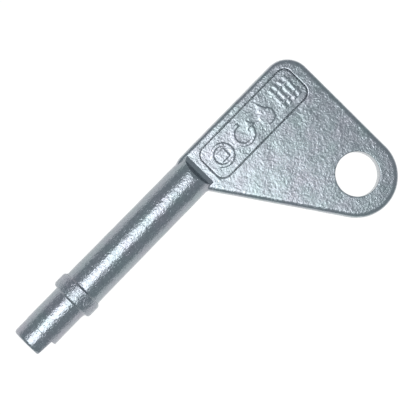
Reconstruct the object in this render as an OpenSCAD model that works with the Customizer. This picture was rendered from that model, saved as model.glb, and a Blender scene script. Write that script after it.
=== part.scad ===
// Radiator bleed key: a cast key with a triangular bow, a round shank, a collar and a nose
// with a square socket. Millimetres. The origin is the centre of the socket's mouth, +X runs
// along the shank to the bow, +Z is the bow's labelled face, and the bow leans to -Y.

/* [Overall] */
// Overall length, from the socket's mouth to the end of the bow
key_length = 89.8; // [89:0.1:94]

/* [Socket nose] */
// Diameter of the nose
nose_d = 8.7; // [8.6:0.05:9]
// Distance from the mouth to the front face of the collar
nose_length = 13.8; // [13:0.1:15]
// Side of the square socket, for a 5 mm square bleed screw
socket_side = 5.1; // [5:0.05:5.2]
// Depth of the square socket
socket_depth = 10; // [6:0.5:11]
// Rounding of the nose's end edge
nose_round = 0.5; // [0.3:0.05:0.6]
// Length of the flat at the tip
flat_length = 4.2; // [3:0.1:6]
// Distance of the flat from the axis, at the mouth
flat_offset = 3.05; // [3:0.05:3.3]

/* [Collar] */
// Diameter of the collar
collar_d = 11; // [10.8:0.1:12]
// Width of the collar
collar_width = 3.8; // [3:0.1:5]
// Rounding of the collar's edges
collar_round = 0.45; // [0.4:0.05:0.7]

/* [Shank] */
// Diameter of the shank behind the collar
shank_front_d = 9.6; // [9.4:0.05:9.7]
// Diameter of the shank where it meets the bow
shank_rear_d = 9.4; // [9.1:0.05:9.5]
// Distance from the mouth to where the bow starts
bow_start = 53.5; // [53:0.1:54.5]
// How far the shank's sloped cheeks run over the bow
cheek_length = 2.3; // [2:0.1:2.6]

/* [Bow] */
// Thickness of the bow
bow_thickness = 4; // [3.8:0.1:4.4]
// Rounding of the bow's outer edges
bow_round = 1.1; // [0.9:0.05:1.2]
// Distance of the bow's upper edge from the shank's axis
bow_top = 5.15; // [5.05:0.05:5.3]
// Depth of the bow below the shank's axis
bow_drop = 36.6; // [35:0.1:37]
// Radius of the corner beside the upper edge
top_corner_r = 5.5; // [4:0.5:7]
// Radius of the corner around the hanging hole
hole_corner_r = 9.6; // [9:0.1:10]
// Angle between the slanted edge and the shank's axis
slant_angle = 56; // [55.5:0.5:57]
// Diameter of the hanging hole
hole_d = 10.4; // [9.5:0.1:10.8]
// Distance of the hole's centre from the end of the bow
hole_from_end = 9.35; // [9:0.05:9.6]
// Height of the hole's centre above the bottom of the bow
hole_from_bottom = 9.95; // [9.6:0.05:10.2]

/* [Label panel] */
// Length of the panel's pocket
pocket_length = 29.1; // [28:0.1:29.3]
// Width of the panel's pocket
pocket_width = 9; // [8.5:0.1:9.1]
// Radius of the pocket's corners
pocket_corner_r = 2.3; // [1.5:0.1:3]
// Distance from the mouth to the pocket's near end
pocket_start = 57.3; // [57:0.1:57.6]
// Distance of the pocket's upper side from the axis
pocket_top = 3.05; // [2.9:0.05:3.3]
// Thickness of the panel
panel_thickness = 1; // [0.7:0.1:1.1]
// Height of the raised symbols
relief_height = 0.2; // [0.15:0.05:0.3]

/* [Hidden] */
$fn = 96;
BRIGHT_ZINC = [0.70, 0.73, 0.77];
GREY_ZINC = [0.58, 0.61, 0.65];
over = 1;

// Joins between the pieces: a round spigot, and a flat tang in a mortise
spigot_d = 6;
spigot_length = 14;
tang_length = 8;
tang_width = 5.2;
tang_thickness = 3;

// Small edge details
nose_r = nose_d / 2;
collar_r = collar_d / 2;
collar_end = nose_length + collar_width;
nose_fillet = 0.3;
shank_flare = 0.25;
flat_slope = 0.25;
step_lean = 0.25;
hole_chamfer = 0.25;

// The shank's rear end
rear_r = shank_rear_d / 2;
half_bow = bow_thickness / 2;
cheek_end = bow_start + cheek_length;
slope_start = bow_start - 0.1;
slope_run = cheek_end - slope_start;
slope_rise = rear_r - half_bow;

// The bow's outline: corner centres, and where the slanted edge runs
rim = 2 * bow_round;
top_corner = [key_length - top_corner_r, bow_top - top_corner_r];
hole_corner = [key_length - hole_corner_r, hole_corner_r - bow_drop];
hole_centre = [key_length - hole_from_end, hole_from_bottom - bow_drop];
root_corner = [bow_start + 1.4, bow_top - rim];
slant_along = [-cos(slant_angle), sin(slant_angle)];
slant_normal = [-sin(slant_angle), -cos(slant_angle)];
slant_bearing = 270 - slant_angle;
slant_foot = hole_corner + hole_corner_r * slant_normal;
slant_length = (slant_foot.x - bow_start) / cos(slant_angle) + over;
seam = 0.02;

// The label panel and its symbols
pocket_depth = panel_thickness + relief_height;
pocket_floor = half_bow - pocket_depth;
pocket_low = pocket_top - pocket_width;
panel_gap = 0.12;
sink = 0.1;
symbol_line = 0.75;
symbol_r = 2.8;
symbol_pitch = 6.8;
symbol_centre = [pocket_start + pocket_length / 2, pocket_top - pocket_width / 2];

// Turns a shape whose axis is +Z so that it runs along +X.
module along_x() {
    rotate([90, 0, 90]) children();
}

// A quarter disc in the quadrant that dir points to.
module quarter(r, dir) {
    intersection() {
        circle(r);
        translate([dir.x < 0 ? -r : 0, dir.y < 0 ? -r : 0]) square(r);
    }
}

// The section of the bow's edge, from inner to outer, with a rounded outer side.
module rim_section(inner, outer) {
    core = outer - bow_round;
    wall = bow_thickness - 2 * bow_round;
    translate([inner, -half_bow]) square([core - inner, bow_thickness]);
    translate([core, -wall / 2]) square([bow_round, wall]);
    for (side = [-1, 1]) translate([core, side * wall / 2]) quarter(bow_round, [1, side]);
}

// A corner of the bow: a round disc with a rounded rim.
module bow_corner(centre, radius) {
    translate([centre.x, centre.y, 0]) rotate_extrude() rim_section(0, radius);
}

// A straight edge of the bow, from a point of the outline, with its outer side on its left.
// It lies a seam's width inside the discs, so that they cross it and are not just tangent.
module bow_edge(start, bearing, length) {
    translate([start.x, start.y, 0]) rotate([0, 0, bearing]) rotate([90, 0, 0])
        linear_extrude(length) rim_section(-rim, -seam);
}

// The inner field of the bow, between the discs' centres and the edges' flat parts.
module bow_field() {
    inset = 1.5 * bow_round;
    slant_inner = slant_foot - inset * slant_normal;
    translate([0, 0, -half_bow]) linear_extrude(bow_thickness) polygon([
        [bow_start - over, bow_top - inset],
        [top_corner.x, bow_top - inset],
        [key_length - inset, top_corner.y],
        [key_length - inset, hole_corner.y],
        hole_corner,
        slant_inner,
        slant_inner + slant_length * slant_along,
    ]);
}

// The whole outline of the bow, cut off square where it enters the shank.
module bow_blank() {
    difference() {
        union() {
            bow_field();
            bow_corner(root_corner, rim);
            bow_corner(top_corner, top_corner_r);
            bow_corner(hole_corner, hole_corner_r);
            bow_edge([root_corner.x, bow_top], 90, top_corner.x - root_corner.x);
            bow_edge([key_length, top_corner.y], 0, top_corner.y - hole_corner.y);
            bow_edge(slant_foot, slant_bearing, slant_length);
        }
        translate([bow_start - key_length, -key_length / 2, -bow_thickness])
            cube([key_length, key_length, 2 * bow_thickness]);
    }
}

// The hanging hole, with a small chamfer at both faces.
module hanging_hole() {
    translate([hole_centre.x, hole_centre.y, 0]) {
        cylinder(h = bow_thickness + 2 * over, d = hole_d, center = true);
        for (side = [0, 1]) mirror([0, 0, side]) translate([0, 0, half_bow - hole_chamfer])
            cylinder(h = hole_chamfer + over, r1 = hole_d / 2, r2 = hole_d / 2 + hole_chamfer + over);
    }
}

// A flat box with rounded upright corners, from its low corner.
module rounded_box(size, r) {
    for (x = [r, size.x - r], y = [r, size.y - r]) translate([x, y, 0]) cylinder(h = size.z, r = r);
    translate([r, 0, 0]) cube([size.x - 2 * r, size.y, size.z]);
    translate([0, r, 0]) cube([size.x, size.y - 2 * r, size.z]);
}

// The flat bow: hanging hole, pocket for the label panel, and tang for the shank's mortise.
module bow() {
    color(BRIGHT_ZINC) {
        difference() {
            bow_blank();
            hanging_hole();
            translate([pocket_start, pocket_low, pocket_floor])
                rounded_box([pocket_length, pocket_width, pocket_depth + over], pocket_corner_r);
        }
        translate([bow_start - tang_length, -tang_width / 2, -tang_thickness / 2])
            cube([tang_length + over, tang_width, tang_thickness]);
    }
}

// A ring of the symbols' line width.
module symbol_ring() {
    difference() {
        circle(symbol_r);
        circle(symbol_r - symbol_line);
    }
}

// The socket seen from its mouth: a square in a ring.
module drive_symbol() {
    symbol_ring();
    square(symbol_r * 0.85, center = true);
}

// A turning arrow: a ring with a gap, and a head on one end of it.
module turn_symbol() {
    head = 1.1;
    mid = symbol_r - symbol_line / 2;
    difference() {
        symbol_ring();
        polygon([[0, 0], [symbol_r * 2, 0], [symbol_r * 2, symbol_r * 2], [symbol_r / 2, symbol_r * 2]]);
    }
    polygon([[mid - head, -sink], [mid + head, -sink], [mid, head * 1.5]]);
}

// A water drop: a round foot, and two straight sides that meet at the tip.
module drop_symbol() {
    foot_r = symbol_r * 0.68;
    foot_y = foot_r - symbol_r;
    side = foot_r * 0.94;
    translate([0, foot_y]) circle(foot_r);
    polygon([[-side, foot_y], [side, foot_y], [0, symbol_r]]);
}

// A radiator: upright ribs on two rails.
module radiator_symbol() {
    ribs = 4;
    pitch = 2 * symbol_line;
    for (i = [0:ribs - 1]) translate([(i - (ribs - 1) / 2) * pitch, 0])
        square([symbol_line, 2 * symbol_r], center = true);
    for (side = [-1, 1]) translate([0, side * symbol_r / 2])
        square([ribs * pitch, symbol_line * 0.7], center = true);
}

// Places one symbol on the panel's face, by its place from the left.
module panel_symbol(place) {
    translate([symbol_centre.x + (place - 1.5) * symbol_pitch, symbol_centre.y, -sink])
        linear_extrude(relief_height + sink) children();
}

// The inset panel with its raised symbols, which lie flush with the bow's face.
module label_panel() {
    length = pocket_length - 2 * panel_gap;
    width = pocket_width - 2 * panel_gap;
    color(GREY_ZINC) {
        translate([pocket_start + panel_gap, pocket_low + panel_gap, pocket_floor])
            rounded_box([length, width, panel_thickness], pocket_corner_r - panel_gap);
        translate([0, 0, pocket_floor + panel_thickness]) {
            panel_symbol(0) drive_symbol();
            panel_symbol(1) turn_symbol();
            panel_symbol(2) drop_symbol();
            panel_symbol(3) radiator_symbol();
        }
    }
}

// The tapered shank: a bore for the spigot in front, a mortise for the tang behind, and two
// sloped cheeks that run out over both faces of the bow.
module shank() {
    tip = cheek_end + over;
    color(BRIGHT_ZINC) difference() {
        along_x() rotate_extrude() polygon([
            [0, collar_end],
            [shank_front_d / 2 + shank_flare, collar_end],
            [shank_front_d / 2, collar_end + shank_flare],
            [rear_r, tip],
            [0, tip],
        ]);
        translate([collar_end - over, 0, 0]) along_x()
            cylinder(h = over + spigot_length - collar_width, d = spigot_d);
        translate([bow_start - tang_length, -tang_width / 2, -tang_thickness / 2])
            cube([tang_length + over, tang_width, tang_thickness]);
        translate([bow_start, -shank_front_d, -half_bow]) cube([shank_front_d, 2 * shank_front_d, bow_thickness]);
        for (side = [0, 1]) mirror([0, 0, side]) translate([0, shank_front_d, 0]) rotate([90, 0, 0])
            linear_extrude(2 * shank_front_d) polygon([
                [slope_start - slope_run / 2, rear_r + slope_rise / 2],
                [cheek_end, half_bow],
                [tip + over, half_bow],
                [tip + over, rear_r + slope_rise / 2],
            ]);
    }
}

// The collar: a ring on the barrel's spigot, held between the nose and the shank.
module collar() {
    core = collar_r - collar_round;
    color(BRIGHT_ZINC) along_x() rotate_extrude() {
        translate([spigot_d / 2, nose_length]) square([core - spigot_d / 2, collar_width]);
        translate([core, nose_length + collar_round]) square([collar_round, collar_width - 2 * collar_round]);
        translate([core, nose_length + collar_round]) quarter(collar_round, [1, -1]);
        translate([core, collar_end - collar_round]) quarter(collar_round, [1, 1]);
    }
}

// The nose's section, from the axis out: a rounded mouth edge and a fillet up to the collar.
module nose_section() {
    core = nose_r - nose_round;
    square([core, nose_length]);
    translate([core, nose_round]) square([nose_round, nose_length - nose_round]);
    translate([core, nose_round]) quarter(nose_round, [1, -1]);
    translate([nose_r, nose_length - nose_fillet]) difference() {
        square(nose_fillet);
        translate([nose_fillet, 0]) circle(nose_fillet);
    }
}

// The socket barrel: the nose with its square socket and flat tip, and the spigot behind it.
module socket_barrel() {
    color(BRIGHT_ZINC) difference() {
        union() {
            along_x() rotate_extrude() nose_section();
            translate([nose_length - over, 0, 0]) along_x() cylinder(h = spigot_length + over, d = spigot_d);
        }
        translate([-over, -socket_side / 2, -socket_side / 2])
            cube([socket_depth + over, socket_side, socket_side]);
        translate([0, 0, -nose_d]) linear_extrude(2 * nose_d) polygon([
            [-over, flat_slope * over / flat_length - flat_offset],
            [flat_length, -flat_slope - flat_offset],
            [flat_length + step_lean, -nose_r],
            [flat_length + step_lean, -nose_d],
            [-over, -nose_d],
        ]);
    }
}

bow();
label_panel();
shank();
collar();
socket_barrel();
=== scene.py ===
"""Radiator bleed key: the looks of a cast zinc key, built around its CAD frame.

Shapes are worked out in millimetres in the part's own frame and become metres in make_piece().
"""
import math

import bmesh
import bpy
import numpy as np
from mathutils import Matrix, Vector
from mathutils.geometry import delaunay_2d_cdt


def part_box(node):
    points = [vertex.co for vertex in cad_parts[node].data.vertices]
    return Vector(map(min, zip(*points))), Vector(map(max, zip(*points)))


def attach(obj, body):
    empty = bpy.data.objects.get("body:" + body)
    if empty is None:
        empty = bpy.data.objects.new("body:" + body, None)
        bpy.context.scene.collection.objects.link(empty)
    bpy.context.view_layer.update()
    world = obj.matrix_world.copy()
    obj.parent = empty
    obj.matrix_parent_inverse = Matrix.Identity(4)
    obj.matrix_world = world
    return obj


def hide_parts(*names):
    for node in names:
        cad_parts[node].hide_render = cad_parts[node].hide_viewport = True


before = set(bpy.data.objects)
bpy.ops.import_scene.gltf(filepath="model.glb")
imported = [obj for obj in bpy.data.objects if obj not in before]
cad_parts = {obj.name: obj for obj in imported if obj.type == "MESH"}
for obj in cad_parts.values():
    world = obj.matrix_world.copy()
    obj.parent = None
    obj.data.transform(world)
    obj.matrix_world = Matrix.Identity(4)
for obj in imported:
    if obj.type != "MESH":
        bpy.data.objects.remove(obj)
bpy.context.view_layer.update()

MM = 0.001


def node_box(node):
    """A CAD node's lowest and highest corners, in millimetres."""
    low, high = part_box(node)
    return np.array(low) / MM, np.array(high) / MM


# ---------------------------------------------------------------- sizes, in millimetres

BOW_LOW, BOW_HIGH = node_box("bow")
PANEL_LOW, PANEL_HIGH = node_box("label_panel")
COLLAR_LOW, COLLAR_HIGH = node_box("collar")
SHANK_LOW, SHANK_HIGH = node_box("shank")

# The shank and its ends
SHANK_FRONT_R = 4.8
SHANK_REAR_R = 4.7
SHANK_FLARE = 0.25           # fillet radius against the collar
CHEEK_END = SHANK_HIGH[0]
CHEEK_LINE = [               # how high the slopes stand over the middle plane, along X
    (CHEEK_END - 3.0, SHANK_REAR_R + 0.03),
    (CHEEK_END - 1.95, 4.4),
    (CHEEK_END - 1.3, 2.75),
    (CHEEK_END, 2.0),
]
CHEEK_SOFTNESS = 0.12        # how softly the shank bends into the slopes
CHEEK_LEAD = 0.5             # how far ahead of the slopes that bend may start
SHANK_OVERRUN = 0.4          # how far the shank runs on inside the bow
SPIGOT_R = 3.0
SPIGOT_END = node_box("socket_barrel")[1][0]

# The nose
NOSE_R = 4.35
NOSE_ROUND = 0.5             # the rounded end's height across the nose
NOSE_LEAD = 0.9              # and its length along it
NOSE_FILLET = 0.3            # fillet radius against the collar
FLAT_LENGTH = 4.2
FLAT_OFFSET = 3.05
FLAT_SLOPE = 0.25
FLAT_ROUND = 0.4
STEP_LEAN = 0.22             # how far the step behind the flat leans
STEP_DEPTH = 2.0             # more than the step's height, so that it reaches the round wall
TIP_RELIEF = 0.06            # how much smaller the tip's radius is, up to the step
TIP_RELIEF_START = 0.05
TIP_RELIEF_RUN = 0.15
SOCKET_HALF = 2.55
SOCKET_DEPTH = 10.0
SOCKET_BEVEL = 0.1

# The collar, and the fillets beside it on the low side, where the bow leans
COLLAR_SKIN_ROOM = 0.02      # keeps the cast skin inside the CAD model's box
COLLAR_R = COLLAR_HIGH[2] - COLLAR_SKIN_ROOM
COLLAR_ROUND = 0.32
COLLAR_EASE = 0.4            # how far the edges fall away further at the +Y side
COLLAR_LOW_EASE = 0.3        # and at the low side
COLLAR_EASE_REACH = 0.9
NOSE_LOW_FILLET = 0.27
SHANK_LOW_FILLET = 0.05
LOW_FILLET_REACH = 1.3
LOW_FILLET_POWER = 2.5
LOW_SIDE_START = 0.45        # where the low side starts, as the share of a radius towards -Y
LOW_SIDE_SPAN = 0.4

# The bow
FACE_SKIN_ROOM = 0.01        # keeps the faces' cast skin close to the CAD model's faces
HALF_BOW = BOW_HIGH[2] - FACE_SKIN_ROOM
BOW_ROUND = 1.1              # the rounded edge's width on the face
BOW_ROUND_RISE = 0.8         # and its height on the wall
BOW_DRAFT = 0.08             # how far the wall leans in from the parting line
BOW_DRAFT_ROWS = (0.12, 0.4, 0.7, 1.0)
SLANT_ANGLE = math.radians(56)
HOLE_CORNER_R = 9.6
TOP_CORNER_R = 5.9
HOLE_R = 5.2
HOLE_FROM_END = 9.35
HOLE_FROM_BOTTOM = 9.95
HOLE_CENTRE = np.array([BOW_HIGH[0] - HOLE_FROM_END, BOW_LOW[1] + HOLE_FROM_BOTTOM])
HOLE_ROUND = 0.2
ROOT_X = CHEEK_END - 4.3     # the bow's front end, inside the shank
ROOT_TOP = 4.3
ROOT_CORNER_X = CHEEK_END - 1.7
ROOT_ROUND = 1.3
ROOT_BLEND = 4.0
WEB_START = CHEEK_END - 3.1  # the fillet between the shank and the slanted edge
WEB_R = 2.0
FLASH = 0.03                 # how far the parting line stands out
EDGE_SKIN_ROOM = 0.04        # keeps the edges' cast skin inside the CAD model's box

# The label panel and its pocket
PANEL_GAP = 0.12
POCKET_LOW = PANEL_LOW[:2] - PANEL_GAP
POCKET_HIGH = PANEL_HIGH[:2] + PANEL_GAP
POCKET_FLOOR = PANEL_LOW[2]
POCKET_CORNER_R = 2.3
POCKET_EDGE_ROUND = 0.17
PANEL_EDGE_ROUND = 0.2
PANEL_EDGE_SKIN = 0.3        # share of the cast skin on the panel's edge
CAD_RELIEF = 0.2             # height of the CAD model's symbols, which its box includes
PANEL_FACE = PANEL_HIGH[2] - CAD_RELIEF
SYMBOL_HEIGHT = 0.1
SYMBOL_SLOPE = 0.32          # width of the symbols' sloped edges
SYMBOL_R = 2.8
SYMBOL_LINE = 0.75
SYMBOL_PITCH = 6.8
ARROW_HEAD = 1.1
ARROW_GAP = math.atan2(2, 0.5)   # where the turning arrow's ring ends

# Mesh fineness: the longest steps along sections, outlines and faces
AROUND = 256
STEP = 0.12
CHEEK_STEP = 0.06
WITNESS_STEP = 0.04          # round the step and the line where the tip's relief ends
WITNESS_BEHIND = 0.6
WITNESS_AHEAD = 0.2
SOCKET_STEP = 0.8
NOSE_FACE_STEP = 0.4
END_FACE_STEP = 0.5
HIDDEN_STEP = 1.0
RIM_STEP = 0.16
FACE_STEP = 0.2
BACK_STEP = 0.3
FACE_MARGIN = 0.55           # how many steps loose points keep from a rim
PANEL_STEP = 0.11
PANEL_MARGIN = 0.5
SLIVER = 0.00001             # a triangle's centre lies at least this far inside a face
FACE_GAP = 0.01              # cast skin starts this far from a joint's face
SPIGOT_GAP = 0.05            # and from the spigot's wall


# ---------------------------------------------------------------- the cast skin

def wave_field(seed, count, shortest, longest, height):
    """A smooth random height over space: a sum of plane waves. Lengths are in millimetres."""
    rng = np.random.default_rng(seed)
    ways = rng.normal(size=(count, 3))
    ways /= np.linalg.norm(ways, axis=1)[:, None]
    lengths = np.exp(rng.uniform(math.log(shortest), math.log(longest), count))
    phases = rng.uniform(0, 2 * math.pi, count)
    weights = lengths / np.sqrt((lengths ** 2).sum())
    vectors = ways * (2 * math.pi / lengths)[:, None]

    def height_at(points):
        waves = np.sin(np.asarray(points) @ vectors.T + phases)
        return height * math.sqrt(2) * (waves @ weights)

    return height_at


SLOW_WAVES = wave_field(seed=11, count=36, shortest=2.5, longest=7.0, height=0.008)
PEEL_WAVES = wave_field(seed=23, count=60, shortest=0.6, longest=1.3, height=0.0035)


def skin(points, normals, amount):
    """Moves points along their normals by the casting's waviness and orange peel."""
    height = SLOW_WAVES(points) + PEEL_WAVES(points)
    return points + normals * (height * amount)[:, None]


# ---------------------------------------------------------------- mesh helpers

def make_piece(name, points, faces, slot, replaced, sharp=35):
    """A mesh piece from points in millimetres, which rides on the key and replaces a CAD node."""
    mesh = bpy.data.meshes.new(name)
    mesh.from_pydata((np.asarray(points) * MM).tolist(), [], faces)
    mesh.validate()
    piece = bpy.data.objects.new(name, mesh)
    bpy.context.scene.collection.objects.link(piece)
    finish_mesh(mesh, sharp)
    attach(piece, "root")
    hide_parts(replaced)
    return piece


def finish_mesh(mesh, sharp):
    """Faces turned outward, and smooth shading with sharp edges above an angle in degrees."""
    work = bmesh.new()
    work.from_mesh(mesh)
    bmesh.ops.recalc_face_normals(work, faces=work.faces)
    work.to_mesh(mesh)
    work.free()
    mesh.polygons.foreach_set("use_smooth", np.ones(len(mesh.polygons), bool))
    mesh.set_sharp_from_angle(angle=math.radians(sharp))
    mesh.update()


def smooth(share):
    """Eases a share from 0 to 1, level at both ends."""
    share = np.clip(share, 0, 1)
    return share * share * (3 - 2 * share)


def arc(centre, radius, start, end, steps):
    """Points of an arc in the plane, angles in degrees."""
    angles = np.radians(np.linspace(start, end, steps + 1))
    return np.c_[centre[0] + radius * np.cos(angles), centre[1] + radius * np.sin(angles)]


def run(start, end, step):
    """Evenly spaced points from start to end, both included, no further apart than step."""
    start, end = np.asarray(start, float), np.asarray(end, float)
    count = max(1, math.ceil(np.linalg.norm(end - start) / step))
    return start + (end - start) * np.linspace(0, 1, count + 1)[:, None]


def path(*stretches):
    """Joins stretches of points, leaving out a point that repeats the one before it."""
    points = np.vstack(stretches)
    gaps = np.linalg.norm(np.diff(points, axis=0), axis=1)
    return points[np.r_[True, gaps > 1e-6]]


def at_height(flat, z):
    """Plane points, or directions, given a third coordinate."""
    return np.c_[flat, np.full(len(flat), z)]


def outward(points):
    """Unit directions from the X axis to each point."""
    ways = points * [0, 1, 1]
    return ways / np.maximum(np.linalg.norm(ways, axis=1), 1e-9)[:, None]


def ring_faces(first, second, count):
    """Quads between two closed rings of count points each, by their first indices."""
    return [
        (first + i, first + (i + 1) % count, second + (i + 1) % count, second + i)
        for i in range(count)
    ]


def lathe(section, closed, squareness=0.0):
    """Points and faces of a section (x, r) turned round the X axis.

    squareness is 0 for a round ring and 1 for a square one of the same half width. A closed
    section ends where it began, and an open one is capped with a point on the axis at each end.
    """
    turn = 2 * math.pi * np.arange(AROUND) / AROUND
    ways = np.c_[np.cos(turn), np.sin(turn)]
    square = 1 / np.abs(ways).max(axis=1)
    count = len(section)
    rings = []
    for (x, r), share in zip(section, np.broadcast_to(squareness, count)):
        reach = r * (1 - share + share * square)
        rings.append(np.c_[np.full(AROUND, x), ways * reach[:, None]])
    points = np.vstack(rings)
    faces = []
    for i in range(count if closed else count - 1):
        faces += ring_faces(i * AROUND, (i + 1) % count * AROUND, AROUND)
    if not closed:
        for ring in (0, count - 1):
            pole = len(points)
            points = np.vstack([points, [section[ring][0], 0, 0]])
            base = ring * AROUND
            fan = [(base + i, pole, base + (i + 1) % AROUND) for i in range(AROUND)]
            faces += fan if ring == 0 else [f[::-1] for f in fan]
    return points, faces


class Shell:
    """Gathers points and faces of one closed surface."""

    def __init__(self):
        self.points = []
        self.normals = []
        self.amounts = []
        self.faces = []
        self.count = 0

    def add(self, points, normals, amount):
        """Adds points, their outward directions and their share of the cast skin.

        Returns the first one's index.
        """
        first = self.count
        self.points.append(points)
        self.normals.append(np.broadcast_to(normals, points.shape))
        self.amounts.append(np.full(len(points), float(amount)))
        self.count += len(points)
        return first

    def tube(self, rings, count, flip=False):
        """Quads through a chain of rings of count points each."""
        for first, second in zip(rings, rings[1:]):
            quads = ring_faces(first, second, count)
            self.faces += [q[::-1] for q in quads] if flip else quads

    def fill(self, rims, up, keep, field, heights):
        """A face between rims, each (plane points, first index), through loose points.

        up is 1 or -1, and keep(points) is True where the face is.
        """
        faces = triangles([flat for flat, _ in rims], keep, field)
        loose = self.add(np.c_[field, heights], (0, 0, up), 1)
        rims = [*rims, (field, loose)]
        index = np.concatenate([np.arange(first, first + len(flat)) for flat, first in rims])
        self.faces += index[faces[:, ::up]].tolist()

    def cap(self, flat, first, up, outline):
        """A face inside one rim, without loose points."""
        nothing = np.zeros((0, 2))
        self.fill([(flat, first)], up, lambda p: outline.depth(p) > SLIVER, nothing, np.zeros(0))

    def merged(self):
        """The points with their skin, and the faces."""
        points, normals = np.vstack(self.points), np.vstack(self.normals)
        return skin(points, normals, np.concatenate(self.amounts)), self.faces


def triangles(rings, keep, field):
    """Counterclockwise triangles between closed rings of plane points and loose points.

    keep(points) is True where the surface is. Indices count the rings' points first.
    """
    edges = []
    first = 0
    for ring in rings:
        edges += [(first + i, first + (i + 1) % len(ring)) for i in range(len(ring))]
        first += len(ring)
    given = np.vstack([*rings, field])
    out = delaunay_2d_cdt([Vector(p) for p in given.tolist()], edges, [], 0, 1e-7)
    faces = np.array([f for f in out[2] if len(f) == 3])
    order = np.full(len(out[0]), -1)
    for new, olds in enumerate(out[3]):
        if olds:
            order[new] = olds[0]
    assert (order >= 0).all() and len(set(order.tolist())) == len(given)
    faces = order[faces]
    faces = faces[keep(given[faces].mean(axis=1))]
    a, b, c = given[faces[:, 0]], given[faces[:, 1]], given[faces[:, 2]]
    area = (b - a)[:, 0] * (c - a)[:, 1] - (b - a)[:, 1] * (c - a)[:, 0]
    faces[area < 0] = faces[area < 0][:, ::-1]
    return faces


def loose_points(low, high, step, keep):
    """A triangular grid of points between two corners, where keep(points) is True."""
    rows = np.arange(low[1], high[1], step * math.sqrt(0.75))
    columns = np.arange(low[0], high[0], step)
    grid = np.array([(x + (j % 2) * step / 2, y) for j, y in enumerate(rows) for x in columns])
    return grid[keep(grid)]


# ---------------------------------------------------------------- flat outlines

class Outline:
    """A convex outline with rounded corners: a list of arcs joined by straight runs."""

    def __init__(self, corners, radii):
        """corners run counterclockwise, one radius for each."""
        self.arcs = []
        corners = np.asarray(corners, float)
        for i, (corner, radius) in enumerate(zip(corners, radii)):
            before = corner - corners[i - 1]
            after = corners[(i + 1) % len(corners)] - corner
            start = math.atan2(before[1], before[0]) - math.pi / 2
            end_way = math.atan2(after[1], after[0]) - math.pi / 2
            turning = (end_way - start) % (2 * math.pi)
            along = before / np.linalg.norm(before)
            inward = along @ np.array([[0, 1], [-1, 0]])
            tangent = corner - along * radius * math.tan(turning / 2)
            self.arcs.append((tangent + inward * radius, radius, start, start + turning))

    def trace(self, step):
        """Points and outward normals round the outline, counterclockwise."""
        points, normals = [], []
        for i, (centre, radius, start, end) in enumerate(self.arcs):
            steps = max(3, math.ceil(radius * (end - start) / step))
            angles = np.linspace(start, end, steps + 1)
            ways = np.c_[np.cos(angles), np.sin(angles)]
            bend = centre + radius * ways
            next_centre, next_radius, next_start, _ = self.arcs[(i + 1) % len(self.arcs)]
            next_way = np.array([math.cos(next_start), math.sin(next_start)])
            straight = run(bend[-1], next_centre + next_radius * next_way, step)[1:-1]
            points += [bend, straight]
            normals += [ways, np.repeat(ways[-1:], len(straight), axis=0)]
        return np.vstack(points), np.vstack(normals)

    def depth(self, points):
        """How far inside the outline each point lies."""
        best = np.full(len(points), np.inf)
        for centre, radius, start, end in self.arcs:
            away = points - centre
            for angle in (start, end):
                best = np.minimum(best, radius - away @ [math.cos(angle), math.sin(angle)])
            bearing = (np.arctan2(away[:, 1], away[:, 0]) - start) % (2 * math.pi)
            inside = bearing <= end - start
            best = np.where(inside, np.minimum(best, radius - np.hypot(*away.T)), best)
        return best


def box_outline(low, high, radius):
    """A rectangle with rounded corners."""
    corners = [(low[0], low[1]), (high[0], low[1]), (high[0], high[1]), (low[0], high[1])]
    return Outline(corners, [radius] * 4)


def bow_outline():
    """The bow's outline at the foot of its draft, without the flash."""
    room = FLASH + EDGE_SKIN_ROOM
    right, top, bottom = BOW_HIGH[0] - room, BOW_HIGH[1] - room, BOW_LOW[1] + room
    slant_normal = np.array([math.sin(SLANT_ANGLE), math.cos(SLANT_ANGLE)])
    foot = np.array([right, bottom]) + HOLE_CORNER_R * ([-1, 1] - slant_normal)

    def slant_y(x):
        return foot[1] - (x - foot[0]) * math.tan(SLANT_ANGLE)

    corners = [
        ((ROOT_X, slant_y(ROOT_X)), ROOT_ROUND),
        ((right, slant_y(right)), HOLE_CORNER_R),
        ((right, top), TOP_CORNER_R),
        ((ROOT_CORNER_X, top), ROOT_BLEND),
        ((ROOT_X, ROOT_TOP), ROOT_ROUND),
    ]
    return Outline(*zip(*corners))


# ---------------------------------------------------------------- the bow

def edge_section():
    """The outer edge's section from mid height to the face: (inset, height, way out, way up)."""
    rows = [(-FLASH, 0.0, 1.0, 0.0)]
    wall = HALF_BOW - BOW_ROUND_RISE
    for share in BOW_DRAFT_ROWS:
        rows.append((BOW_DRAFT * share, wall * share, 1.0, 0.0))
    for angle in np.radians(np.linspace(0, 90, 10)[1:]):
        inset = BOW_DRAFT + BOW_ROUND * (1 - math.cos(angle))
        way = np.array([math.cos(angle) * BOW_ROUND_RISE, math.sin(angle) * BOW_ROUND])
        height = wall + BOW_ROUND_RISE * math.sin(angle)
        rows.append((inset, height, *(way / np.linalg.norm(way))))
    return rows


def outer_edge(shell, outline):
    """The bow's outer edge. Returns the rims of its front and back face."""
    points, normals = outline.trace(RIM_STEP)
    sections = edge_section()

    def ring(section, up):
        inset, height, out, lift = section
        flat = points - normals * inset
        return shell.add(at_height(flat, up * height), at_height(normals * out, up * lift), 1)

    middle = ring(sections[0], 1)
    front = [middle] + [ring(section, 1) for section in sections[1:]]
    back = [middle] + [ring(section, -1) for section in sections[1:]]
    shell.tube(front, len(points))
    shell.tube(back, len(points), flip=True)
    face = points - normals * sections[-1][0]
    return (face, front[-1]), (face, back[-1])


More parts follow.
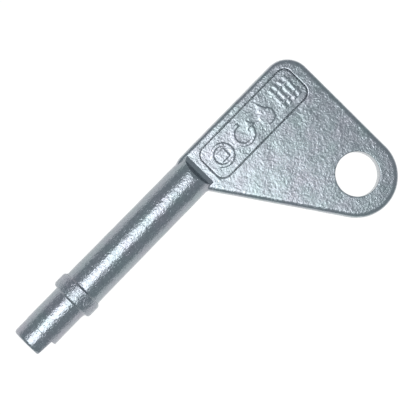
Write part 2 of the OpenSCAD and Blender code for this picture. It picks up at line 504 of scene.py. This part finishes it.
def hole_wall(shell):
    """The hanging hole's wall. Returns its rims in the front and back face."""
    turns = 2 * math.pi * np.arange(0, 1, RIM_STEP / (2 * math.pi * HOLE_R))
    ways = np.c_[np.cos(turns), np.sin(turns)]
    wall = HALF_BOW - HOLE_ROUND
    rows = [
        (HOLE_R + HOLE_ROUND * (1 - math.cos(a)), wall + HOLE_ROUND * math.sin(a), a)
        for a in np.radians(np.linspace(90, 0, 7))
    ]
    rows += [(r, -z, -a) for r, z, a in rows[::-1]]
    rings = []
    for r, z, a in rows:
        way = at_height(-ways * math.cos(a), math.sin(a))
        rings.append(shell.add(at_height(HOLE_CENTRE + ways * r, z), way, 1))
    shell.tube(rings, len(turns), flip=True)
    rim = HOLE_CENTRE + ways * (HOLE_R + HOLE_ROUND)
    return (rim, rings[0]), (rim, rings[-1])


def pocket_wall(shell, outline):
    """The panel pocket's wall and floor. Returns its rim in the front face."""
    points, normals = outline.trace(RIM_STEP)
    rings = []
    for angle in np.radians(np.linspace(90, 0, 6)):
        out = POCKET_EDGE_ROUND * (1 - math.cos(angle))
        level = HALF_BOW - POCKET_EDGE_ROUND * (1 - math.sin(angle))
        in_face = not rings
        rings.append(shell.add(at_height(points + normals * out, level), (0, 0, 1), in_face))
    floor = shell.add(at_height(points, POCKET_FLOOR), (0, 0, 1), 0)
    shell.tube([*rings, floor], len(points), flip=True)
    return (points + normals * POCKET_EDGE_ROUND, rings[0]), (points, floor)


def bow_piece():
    """The bow: a rounded plate with the hanging hole and the pocket for the label panel."""
    shell = Shell()
    outline = bow_outline()
    pocket = box_outline(POCKET_LOW, POCKET_HIGH, POCKET_CORNER_R)
    front_edge, back_edge = outer_edge(shell, outline)
    front_hole, back_hole = hole_wall(shell)
    pocket_rim, pocket_floor = pocket_wall(shell, pocket)

    def on_back(points, gap):
        inside = outline.depth(points) > BOW_DRAFT + BOW_ROUND + gap
        return inside & (np.hypot(*(points - HOLE_CENTRE).T) > HOLE_R + HOLE_ROUND + gap)

    def on_front(points, gap):
        return on_back(points, gap) & (pocket.depth(points) < -POCKET_EDGE_ROUND - gap)

    def face(rims, up, spacing, clear):
        margin = FACE_MARGIN * spacing
        field = loose_points(BOW_LOW, BOW_HIGH, spacing, lambda p: clear(p, margin))
        heights = np.full(len(field), up * HALF_BOW)
        shell.fill(rims, up, lambda p: clear(p, SLIVER), field, heights)

    face([front_edge, front_hole, pocket_rim], 1, FACE_STEP, on_front)
    face([back_edge, back_hole], -1, BACK_STEP, on_back)
    shell.cap(*pocket_floor, 1, pocket)
    return make_piece("bow_cast", *shell.merged(), "bow_zinc", "bow", sharp=50)


# ---------------------------------------------------------------- the label panel

def symbol_distance(points):
    """Signed distance from each plane point to the panel's symbols, negative inside them."""
    centre = (PANEL_LOW[:2] + PANEL_HIGH[:2]) / 2
    shapes = (drive_symbol, turn_symbol, drop_symbol, radiator_symbol)
    middle = (len(shapes) - 1) / 2
    places = [points - centre - [(i - middle) * SYMBOL_PITCH, 0] for i in range(len(shapes))]
    return np.min([shape(place) for shape, place in zip(shapes, places)], axis=0)


def ring_distance(p):
    """Distance to a ring of the symbols' size and line."""
    middle = SYMBOL_R - SYMBOL_LINE / 2
    return np.abs(np.hypot(*p.T) - middle) - SYMBOL_LINE / 2


def box_distance(p, half_x, half_y):
    """Distance to an upright rectangle round the centre."""
    away = np.abs(p) - [half_x, half_y]
    return np.hypot(*np.maximum(away, 0).T) + np.minimum(away.max(axis=1), 0)


def triangle_distance(p, a, b, c):
    """Distance to a triangle whose corners run counterclockwise, as three half planes."""
    best = np.full(len(p), -np.inf)
    for start, end in ((a, b), (b, c), (c, a)):
        along = np.subtract(end, start)
        normal = np.array([along[1], -along[0]]) / np.hypot(*along)
        best = np.maximum(best, (p - start) @ normal)
    return best


def drive_symbol(p):
    """The socket seen from its mouth: a square in a ring."""
    side = SYMBOL_R * 0.85 / 2
    return np.minimum(ring_distance(p), box_distance(p, side, side))


def turn_symbol(p):
    """A turning arrow: a ring with a gap, and a head on one end of it."""
    middle = SYMBOL_R - SYMBOL_LINE / 2
    gap = np.maximum(-p[:, 1], p @ [-math.sin(ARROW_GAP), math.cos(ARROW_GAP)])
    tail = np.maximum(ring_distance(p), -gap)
    left, right = (middle - ARROW_HEAD, 0), (middle + ARROW_HEAD, 0)
    head = triangle_distance(p, left, right, (middle, ARROW_HEAD * 1.5))
    return np.minimum(tail, head)


def drop_symbol(p):
    """A water drop: a round foot under a pointed top."""
    foot_r = SYMBOL_R * 0.68
    foot_y = foot_r - SYMBOL_R
    side = foot_r * 0.94
    top = triangle_distance(p, (-side, foot_y), (side, foot_y), (0, SYMBOL_R))
    return np.minimum(np.hypot(p[:, 0], p[:, 1] - foot_y) - foot_r, top)


def radiator_symbol(p):
    """A radiator: four upright ribs on two rails."""
    pitch = 2 * SYMBOL_LINE
    rail_y = SYMBOL_R / 2
    ribs = [box_distance(p - [(i - 1.5) * pitch, 0], SYMBOL_LINE / 2, SYMBOL_R) for i in range(4)]
    rails = [box_distance(p - [0, y], 2 * pitch, SYMBOL_LINE * 0.35) for y in (-rail_y, rail_y)]
    return np.min(ribs + rails, axis=0)


def panel_piece():
    """The inset label panel, with its symbols raised out of its face."""
    shell = Shell()
    outline = box_outline(PANEL_LOW, PANEL_HIGH, POCKET_CORNER_R - PANEL_GAP)
    points, normals = outline.trace(PANEL_STEP)
    floor = shell.add(at_height(points, PANEL_LOW[2]), (0, 0, -1), 0)
    rings = [floor]
    for angle in np.radians(np.linspace(0, 90, 6)):
        flat = points - normals * PANEL_EDGE_ROUND * (1 - math.cos(angle))
        level = PANEL_FACE - PANEL_EDGE_ROUND * (1 - math.sin(angle))
        rings.append(shell.add(at_height(flat, level), (0, 0, 1), PANEL_EDGE_SKIN))
    shell.tube(rings, len(points))

    def clear(p, gap):
        return outline.depth(p) > PANEL_EDGE_ROUND + gap

    margin = PANEL_MARGIN * PANEL_STEP
    field = loose_points(PANEL_LOW, PANEL_HIGH, PANEL_STEP, lambda p: clear(p, margin))
    rise = smooth(0.5 - symbol_distance(field) / SYMBOL_SLOPE)
    heights = PANEL_FACE + SYMBOL_HEIGHT * rise
    rim = (points - normals * PANEL_EDGE_ROUND, rings[-1])
    shell.fill([rim], 1, lambda p: clear(p, SLIVER), field, heights)
    shell.cap(points, floor, -1, outline)
    return make_piece("label_panel_cast", *shell.merged(), "panel_zinc", "label_panel", sharp=60)


# ---------------------------------------------------------------- the nose and the collar

def flat_depth(x):
    """How far below the axis the nose's flat lies at x, with the step behind it."""
    lead = np.clip(FLAT_ROUND - x, 0, FLAT_ROUND)
    rounding = FLAT_ROUND - np.sqrt(FLAT_ROUND ** 2 - lead ** 2)
    lie = FLAT_OFFSET + FLAT_SLOPE * x / FLAT_LENGTH - rounding
    step = np.clip((x - FLAT_LENGTH) / STEP_LEAN, 0, 1) * STEP_DEPTH
    return np.where(x > FLAT_LENGTH, FLAT_OFFSET + FLAT_SLOPE + step, lie)


def low_side(points):
    """1 along the key's low side, where its bow leans, falling to 0 on its flanks."""
    return smooth((-outward(points)[:, 1] - LOW_SIDE_START) / LOW_SIDE_SPAN)


def low_fillet(points, face, height):
    """How far the casting swells on its low side as it nears one of the collar's faces."""
    near = np.clip(1 - np.abs(points[:, 0] - face) / LOW_FILLET_REACH, 0, 1)
    return height * near ** LOW_FILLET_POWER * low_side(points) * beyond_spigot(points)


def beyond_spigot(points):
    """True for points that lie further out than the spigot's wall."""
    return np.hypot(points[:, 1], points[:, 2]) > SPIGOT_R + SPIGOT_GAP


def nose_section():
    """The section of the spigot and the outside of the nose, from the spigot's end."""
    face = COLLAR_LOW[0]
    fillet_end = face - NOSE_FILLET
    behind, ahead = FLAT_LENGTH + WITNESS_BEHIND, FLAT_LENGTH - WITNESS_AHEAD
    stretch = np.array([NOSE_LEAD / NOSE_ROUND, 1])
    shift = np.array([NOSE_LEAD - NOSE_LEAD * stretch[0], 0])
    end_round = arc((NOSE_LEAD, NOSE_R - NOSE_ROUND), NOSE_ROUND, 90, 180, steps=12)
    return path(
        run((SPIGOT_END, SPIGOT_R), (face, SPIGOT_R), HIDDEN_STEP),
        run((face, SPIGOT_R), (face, NOSE_R + NOSE_FILLET), NOSE_FACE_STEP),
        arc((fillet_end, NOSE_R + NOSE_FILLET), NOSE_FILLET, 0, -90, steps=8),
        run((fillet_end, NOSE_R), (behind, NOSE_R), STEP),
        run((behind, NOSE_R), (ahead, NOSE_R), WITNESS_STEP),
        run((ahead, NOSE_R), (NOSE_LEAD, NOSE_R), STEP),
        end_round * stretch + shift,
    )


def barrel_piece():
    """The nose, with its flat tip and square socket, and the spigot behind it."""
    outside = nose_section()
    section = path(
        outside,
        [(0, SOCKET_HALF + SOCKET_BEVEL)],
        run((SOCKET_BEVEL, SOCKET_HALF), (SOCKET_DEPTH, SOCKET_HALF), SOCKET_STEP),
    )
    in_socket = np.arange(len(section)) >= len(outside)
    points, faces = lathe(section, closed=False, squareness=in_socket * 1.0)
    section_index = np.minimum(np.arange(len(points)) // AROUND, len(section) - 1)
    outer = ~in_socket[section_index]
    radial = outward(points)
    tip = np.clip((FLAT_LENGTH + TIP_RELIEF_START - points[:, 0]) / TIP_RELIEF_RUN, 0, 1)
    swell = low_fillet(points, COLLAR_LOW[0], NOSE_LOW_FILLET) - TIP_RELIEF * tip
    cast = outer & (points[:, 0] < COLLAR_LOW[0] - FACE_GAP)
    points = points + radial * (swell * outer)[:, None]
    points = skin(points, radial, cast)
    points[outer, 1] = np.maximum(points[outer, 1], -flat_depth(points[outer, 0]))
    return make_piece("socket_barrel_cast", points, faces, "shank_zinc", "socket_barrel")


def collar_piece():
    """The collar: a ring with rounded edges, eased at both sides, and a bore for the spigot."""
    front, rear = COLLAR_LOW[0], COLLAR_HIGH[0]
    core = COLLAR_R - COLLAR_ROUND
    section = path(
        run((rear, SPIGOT_R), (rear, core), END_FACE_STEP),
        arc((rear - COLLAR_ROUND, core), COLLAR_ROUND, 0, 90, steps=8),
        run((rear - COLLAR_ROUND, COLLAR_R), (front + COLLAR_ROUND, COLLAR_R), STEP),
        arc((front + COLLAR_ROUND, core), COLLAR_ROUND, 90, 180, steps=8),
        run((front, core), (front, SPIGOT_R), END_FACE_STEP),
        run((front, SPIGOT_R), (rear, SPIGOT_R), HIDDEN_STEP)[:-1],
    )
    points, faces = lathe(section, closed=True)
    radial = outward(points)
    cast = np.hypot(points[:, 1], points[:, 2]) > core + FACE_GAP
    gap = np.minimum(points[:, 0] - front, rear - points[:, 0])
    depth = np.where(radial[:, 1] > 0, COLLAR_EASE, COLLAR_LOW_EASE)
    ease = depth * np.clip(1 - gap / COLLAR_EASE_REACH, 0, 1) ** 2 * radial[:, 1] ** 4
    points = points - radial * (ease * beyond_spigot(points))[:, None]
    points = skin(points, radial, cast)
    return make_piece("collar_cast", points, faces, "shank_zinc", "collar")


# ---------------------------------------------------------------- the shank

def under_cheek(x, height):
    """Heights pressed down under the sloped cheek's line, softly where they meet it."""
    line_x, line_z = np.array(CHEEK_LINE).T
    shifts = np.arange(-3, 4) * CHEEK_SOFTNESS
    lid = np.mean([np.interp(x + shift, line_x, line_z) for shift in shifts], axis=0)
    fall = (line_z[-2] - line_z[-1]) / (line_x[-1] - line_x[-2])
    lid = np.where(x > CHEEK_END - shifts[-1], line_z[-1] - (x - CHEEK_END) * fall, lid)
    over = np.maximum(height - lid + CHEEK_SOFTNESS, 0)
    soft = over ** 2 / (4 * CHEEK_SOFTNESS)
    eased = np.where(over < 2 * CHEEK_SOFTNESS, soft, over - CHEEK_SOFTNESS)
    return np.where(x > line_x[0] - CHEEK_LEAD, height - eased, height)


def root_web(points):
    """How far the shank's low side swells into a fillet with the bow's slanted edge."""
    along = np.clip(points[:, 0] - WEB_START, 0, WEB_R * math.sin(SLANT_ANGLE))
    swell = WEB_R - np.sqrt(WEB_R ** 2 - along ** 2)
    return swell * smooth(HALF_BOW - np.abs(points[:, 2])) * (points[:, 1] < 0)


def shank_piece():
    """The tapered shank, with sloped cheeks that run out over both faces of the bow."""
    front, cheek_start = SHANK_LOW[0], CHEEK_LINE[0][0]
    end = CHEEK_END + SHANK_OVERRUN
    flare_end = front + SHANK_FLARE
    flare_r = SHANK_FRONT_R + SHANK_FLARE
    section = path(
        run((end, SHANK_REAR_R), (cheek_start, SHANK_REAR_R), CHEEK_STEP),
        run((cheek_start, SHANK_REAR_R), (flare_end, SHANK_FRONT_R), STEP),
        arc((flare_end, flare_r), SHANK_FLARE, -90, -180, steps=6),
        run((front, flare_r), (front, SPIGOT_R), END_FACE_STEP),
        run((front, SPIGOT_R), (SPIGOT_END, SPIGOT_R), HIDDEN_STEP),
    )
    points, faces = lathe(section, closed=False)
    cast = beyond_spigot(points) & (points[:, 0] > front + FACE_GAP)
    points = skin(points, outward(points), cast)
    points = points + outward(points) * low_fillet(points, front, SHANK_LOW_FILLET)[:, None]
    points[:, 1] -= root_web(points) * cast
    points[:, 2] = np.sign(points[:, 2]) * under_cheek(points[:, 0], np.abs(points[:, 2]))
    return make_piece("shank_cast", points, faces, "shank_zinc", "shank")


# ---------------------------------------------------------------- materials

# Colours of the castings, and what a faint tint makes of them
BOW_COLOUR = (0.358, 0.392, 0.420)
PANEL_COLOUR = (0.354, 0.387, 0.415)
SHANK_COLOUR = (0.342, 0.372, 0.404)
COLLAR_COLOUR = (0.340, 0.370, 0.402)
PINK = (1.05, 0.985, 1.01)
GREEN = (0.96, 1.02, 0.985)

# How rough each casting's skin is, against the bow's
SHANK_PEEL = 1.8
COLLAR_PEEL = 3.6

# Sizes of the patterns and heights of the bumps, in millimetres. Stops are values of the noise.
TINT_SIZE = 5.0
TINT_STOPS = (0.30, 0.5, 0.70)
GRAIN_SIZE = 0.55
GRAIN_STOPS = (0.32, 0.62)
GRAIN_SHADES = (0.88, 1.05)
GLOSS_SIZE = 0.8
GLOSS_STOPS = (0.3, 0.7)
ROUGHNESS = (0.19, 0.3)
PEBBLE_SIZE = 0.9
PEBBLE_HEIGHT = 0.034
FINE_SIZE = 0.4
FINE_HEIGHT = 0.032
SPECK_SIZE = 0.55
SPECK_STOPS = (0.58, 0.72)
SPECK_HEIGHT = 0.014


class Recipe:
    """A material whose patterns lie in object coordinates."""

    def __init__(self, name):
        self.material = bpy.data.materials.new(name)
        self.material.use_nodes = True
        self.nodes = self.material.node_tree.nodes
        self.links = self.material.node_tree.links
        self.nodes.clear()
        out = self.nodes.new("ShaderNodeOutputMaterial")
        self.shader = self.nodes.new("ShaderNodeBsdfPrincipled")
        self.links.new(self.shader.outputs["BSDF"], out.inputs["Surface"])
        self.place = self.nodes.new("ShaderNodeTexCoord").outputs["Object"]

    def noise(self, size, detail, roughness=0.55):
        """Noise whose features are about size millimetres wide."""
        node = self.nodes.new("ShaderNodeTexNoise")
        node.inputs["Scale"].default_value = 1 / (size * MM)
        node.inputs["Detail"].default_value = detail
        node.inputs["Roughness"].default_value = roughness
        self.links.new(self.place, node.inputs["Vector"])
        return node.outputs["Fac"]

    def ramp(self, source, stops, colours):
        """Colours, or greys given as one number, by the source's value at each stop."""
        node = self.nodes.new("ShaderNodeValToRGB")
        while len(node.color_ramp.elements) < len(stops):
            node.color_ramp.elements.new(0.5)
        for element, stop, colour in zip(node.color_ramp.elements, stops, colours):
            element.position = stop
            element.color = (*np.broadcast_to(colour, 3), 1)
        self.links.new(source, node.inputs["Fac"])
        return node.outputs["Color"]

    def multiply(self, first, second):
        """The product of two colours."""
        node = self.nodes.new("ShaderNodeMix")
        node.data_type = "RGBA"
        node.blend_type = "MULTIPLY"
        node.inputs["Factor"].default_value = 1.0
        self.links.new(first, node.inputs["A"])
        self.links.new(second, node.inputs["B"])
        return node.outputs["Result"]

    def bump(self, height, distance, under=None):
        """A bump of a distance in millimetres, on top of another one's normal."""
        node = self.nodes.new("ShaderNodeBump")
        node.inputs["Strength"].default_value = 1.0
        node.inputs["Distance"].default_value = distance * MM
        self.links.new(height, node.inputs["Height"])
        if under:
            self.links.new(under, node.inputs["Normal"])
        return node.outputs["Normal"]


def cast_zinc(name, colour, peel=1.0):
    """Bright cast zinc: orange peel, fine grain, and faint tints."""
    zinc = Recipe(name)
    pink, green = np.multiply(colour, PINK), np.multiply(colour, GREEN)
    tint = zinc.ramp(zinc.noise(TINT_SIZE, detail=1.5), TINT_STOPS, (green, colour, pink))
    grain_noise = zinc.noise(GRAIN_SIZE, detail=3, roughness=0.6)
    grain = zinc.ramp(grain_noise, GRAIN_STOPS, GRAIN_SHADES)
    rough = zinc.ramp(zinc.noise(GLOSS_SIZE, detail=4), GLOSS_STOPS, ROUGHNESS)
    specks = zinc.ramp(zinc.noise(SPECK_SIZE, detail=1), SPECK_STOPS, (0, 1))
    pebbles = zinc.bump(zinc.noise(PEBBLE_SIZE, detail=2), PEBBLE_HEIGHT * peel)
    fine = zinc.bump(zinc.noise(FINE_SIZE, detail=2), FINE_HEIGHT * peel, pebbles)
    normal = zinc.bump(specks, SPECK_HEIGHT * peel, fine)
    zinc.shader.inputs["Metallic"].default_value = 1.0
    zinc.links.new(zinc.multiply(tint, grain), zinc.shader.inputs["Base Color"])
    zinc.links.new(rough, zinc.shader.inputs["Roughness"])
    zinc.links.new(normal, zinc.shader.inputs["Normal"])
    return zinc.material


def pale_floor():
    """A plain floor that glows just under white by itself, so that it stays even."""
    material = bpy.data.materials.new("pale_floor")
    material.use_nodes = True
    shader = material.node_tree.nodes["Principled BSDF"]
    shader.inputs["Base Color"].default_value = (FLOOR_GREY, FLOOR_GREY, FLOOR_GREY, 1)
    shader.inputs["Roughness"].default_value = 1.0
    shader.inputs["Specular IOR Level"].default_value = 0.0
    shader.inputs["Emission Color"].default_value = (1, 1, 1, 1)
    shader.inputs["Emission Strength"].default_value = FLOOR_GLOW
    return material


def dress(piece, material):
    """Gives a piece one material."""
    piece.data.materials.clear()
    piece.data.materials.append(material)


# ---------------------------------------------------------------- stage, light and camera

FLOOR_Z = COLLAR_LOW[2]
FLOOR_HALF = 2000.0
FLOOR_GREY = 0.1
FLOOR_GLOW = 0.98
ROOM_COLOUR = (0.84, 0.94, 1.0, 1)
ROOM_LEVEL = 0.455
SOFTBOX_PLACE = (-30, 50, 400)
SOFTBOX_TARGET = (-30, 50, 0)
SOFTBOX_SIZE = (264, 306)
SOFTBOX_RADIANCE = 3.15
VIEW_FROM = (18.4, 11.3, 400.0)
VIEW_CENTRE = (50.8, -7.4, 0.0)
VIEW_TURN = math.radians(45.5)
LENS = 152.2
SENSOR_WIDTH = 36.0
CLIP_START = 5.0


def add_floor():
    """The floor, level with the collar's lowest point."""
    mesh = bpy.data.meshes.new("floor")
    signs = [(-1, -1), (1, -1), (1, 1), (-1, 1)]
    corners = [(x * FLOOR_HALF * MM, y * FLOOR_HALF * MM, FLOOR_Z * MM) for x, y in signs]
    mesh.from_pydata(corners, [], [(0, 1, 2, 3)])
    floor = bpy.data.objects.new("floor", mesh)
    bpy.context.scene.collection.objects.link(floor)
    dress(floor, pale_floor())


def add_softbox(name, place, target, size, radiance):
    """A rectangular area light of a width and depth, aimed at a target, in millimetres."""
    light = bpy.data.lights.new(name, "AREA")
    light.shape = "RECTANGLE"
    light.size, light.size_y = size[0] * MM, size[1] * MM
    light.energy = radiance * light.size * light.size_y * math.pi
    lamp = bpy.data.objects.new(name, light)
    lamp.location = Vector(place) * MM
    aim = Vector(target) * MM - lamp.location
    lamp.rotation_euler = aim.to_track_quat("-Z", "Y").to_euler()
    bpy.context.scene.collection.objects.link(lamp)


def add_world():
    """The room's even light."""
    world = bpy.data.worlds.new("room")
    world.use_nodes = True
    background = world.node_tree.nodes["Background"]
    background.inputs["Color"].default_value = ROOM_COLOUR
    background.inputs["Strength"].default_value = ROOM_LEVEL
    bpy.context.scene.world = world


def add_camera():
    """A camera above the key, leaning a little, turned so that the shank rises to the right."""
    data = bpy.data.cameras.new("camera")
    data.sensor_width = SENSOR_WIDTH
    data.lens = LENS
    data.clip_start = CLIP_START * MM
    camera = bpy.data.objects.new("camera", data)
    back = (Vector(VIEW_FROM) - Vector(VIEW_CENTRE)).normalized()
    right = Vector((math.cos(VIEW_TURN), -math.sin(VIEW_TURN), 0))
    right = (right - back * right.dot(back)).normalized()
    axes = Matrix((right, back.cross(right), back)).transposed().to_4x4()
    camera.matrix_world = Matrix.Translation(Vector(VIEW_FROM) * MM) @ axes
    bpy.context.scene.collection.objects.link(camera)
    bpy.context.scene.camera = camera


add_camera()
add_floor()
add_world()
add_softbox("key_light", SOFTBOX_PLACE, SOFTBOX_TARGET, SOFTBOX_SIZE, SOFTBOX_RADIANCE)

bow_zinc = cast_zinc("bow_zinc_cast", BOW_COLOUR)
panel_zinc = cast_zinc("panel_zinc_cast", PANEL_COLOUR)
shank_zinc = cast_zinc("shank_zinc_cast", SHANK_COLOUR, SHANK_PEEL)
collar_zinc = cast_zinc("collar_zinc_cast", COLLAR_COLOUR, COLLAR_PEEL)

dress(bow_piece(), bow_zinc)
dress(panel_piece(), panel_zinc)
dress(shank_piece(), shank_zinc)
dress(collar_piece(), collar_zinc)
dress(barrel_piece(), shank_zinc)

bpy.context.scene.view_settings.view_transform = "Standard"
